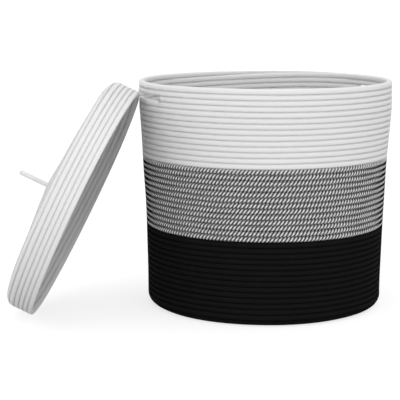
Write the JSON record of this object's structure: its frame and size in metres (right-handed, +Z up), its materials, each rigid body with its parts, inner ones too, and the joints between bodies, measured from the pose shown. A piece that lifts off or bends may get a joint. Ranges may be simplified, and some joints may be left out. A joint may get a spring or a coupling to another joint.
{
  "type": "laundry hamper with lid",
  "caption": "Round coiled cotton-rope laundry hamper in three colour bands, with two hand slots and a loose domed rope lid with a loop handle.",
  "frame": {"origin": "centre of the basket's base on the floor", "axes": "+Z up; -X towards the lid that leans on the basket; -Y towards the front"},
  "size_m": [0.5986, 0.4769, 0.3575],
  "materials": {
    "white_rope": "matte braided cotton",
    "mixed_rope": "matte twisted cotton, white and black strands",
    "black_rope": "matte braided cotton",
    "white_thread": "polyester sewing thread",
    "black_thread": "polyester sewing thread"
  },
  "bodies": {
    "basket": {"base_coil": "black_rope", "lower_wall_coil": "black_rope", "middle_wall_coil": "mixed_rope", "upper_wall_coil": "white_rope", "front_slot_row": "white_rope", "back_slot_row": "white_rope", "rim_coil": "white_rope", "base_needle_thread": "black_thread", "base_bobbin_thread": "black_thread", "lower_wall_needle_thread": "black_thread", "lower_wall_bobbin_thread": "black_thread", "middle_wall_needle_thread": "black_thread", "middle_wall_bobbin_thread": "black_thread", "upper_wall_needle_thread": "white_thread", "upper_wall_bobbin_thread": "white_thread", "rim_needle_thread": "white_thread", "rim_bobbin_thread": "white_thread", "slot_bar_tacks": "white_thread"},
    "lid": {"lid_rim_coil": "white_rope", "lid_top_coil": "white_rope", "loop_knots": "white_rope", "lid_rim_needle_thread": "white_thread", "lid_rim_bobbin_thread": "white_thread", "lid_top_needle_thread": "white_thread", "lid_top_bobbin_thread": "white_thread"},
    "loop": {"handle_loop": "white_rope"}
  },
  "joints": [
    {"name": "lid_lift", "type": "slide", "parent": "basket", "child": "lid", "axis": [0, 0, 1], "range_m": [0, 0.375]},
    {"name": "loop_fold", "type": "hinge", "parent": "lid", "child": "loop", "pos_m": [-0.34041, -0.08268, 0.20015], "axis": [-0.0222, 0.9814, -0.1909], "range_deg": [-60, 60], "stiffness_Nm_per_rad": 0.08}
  ]
}
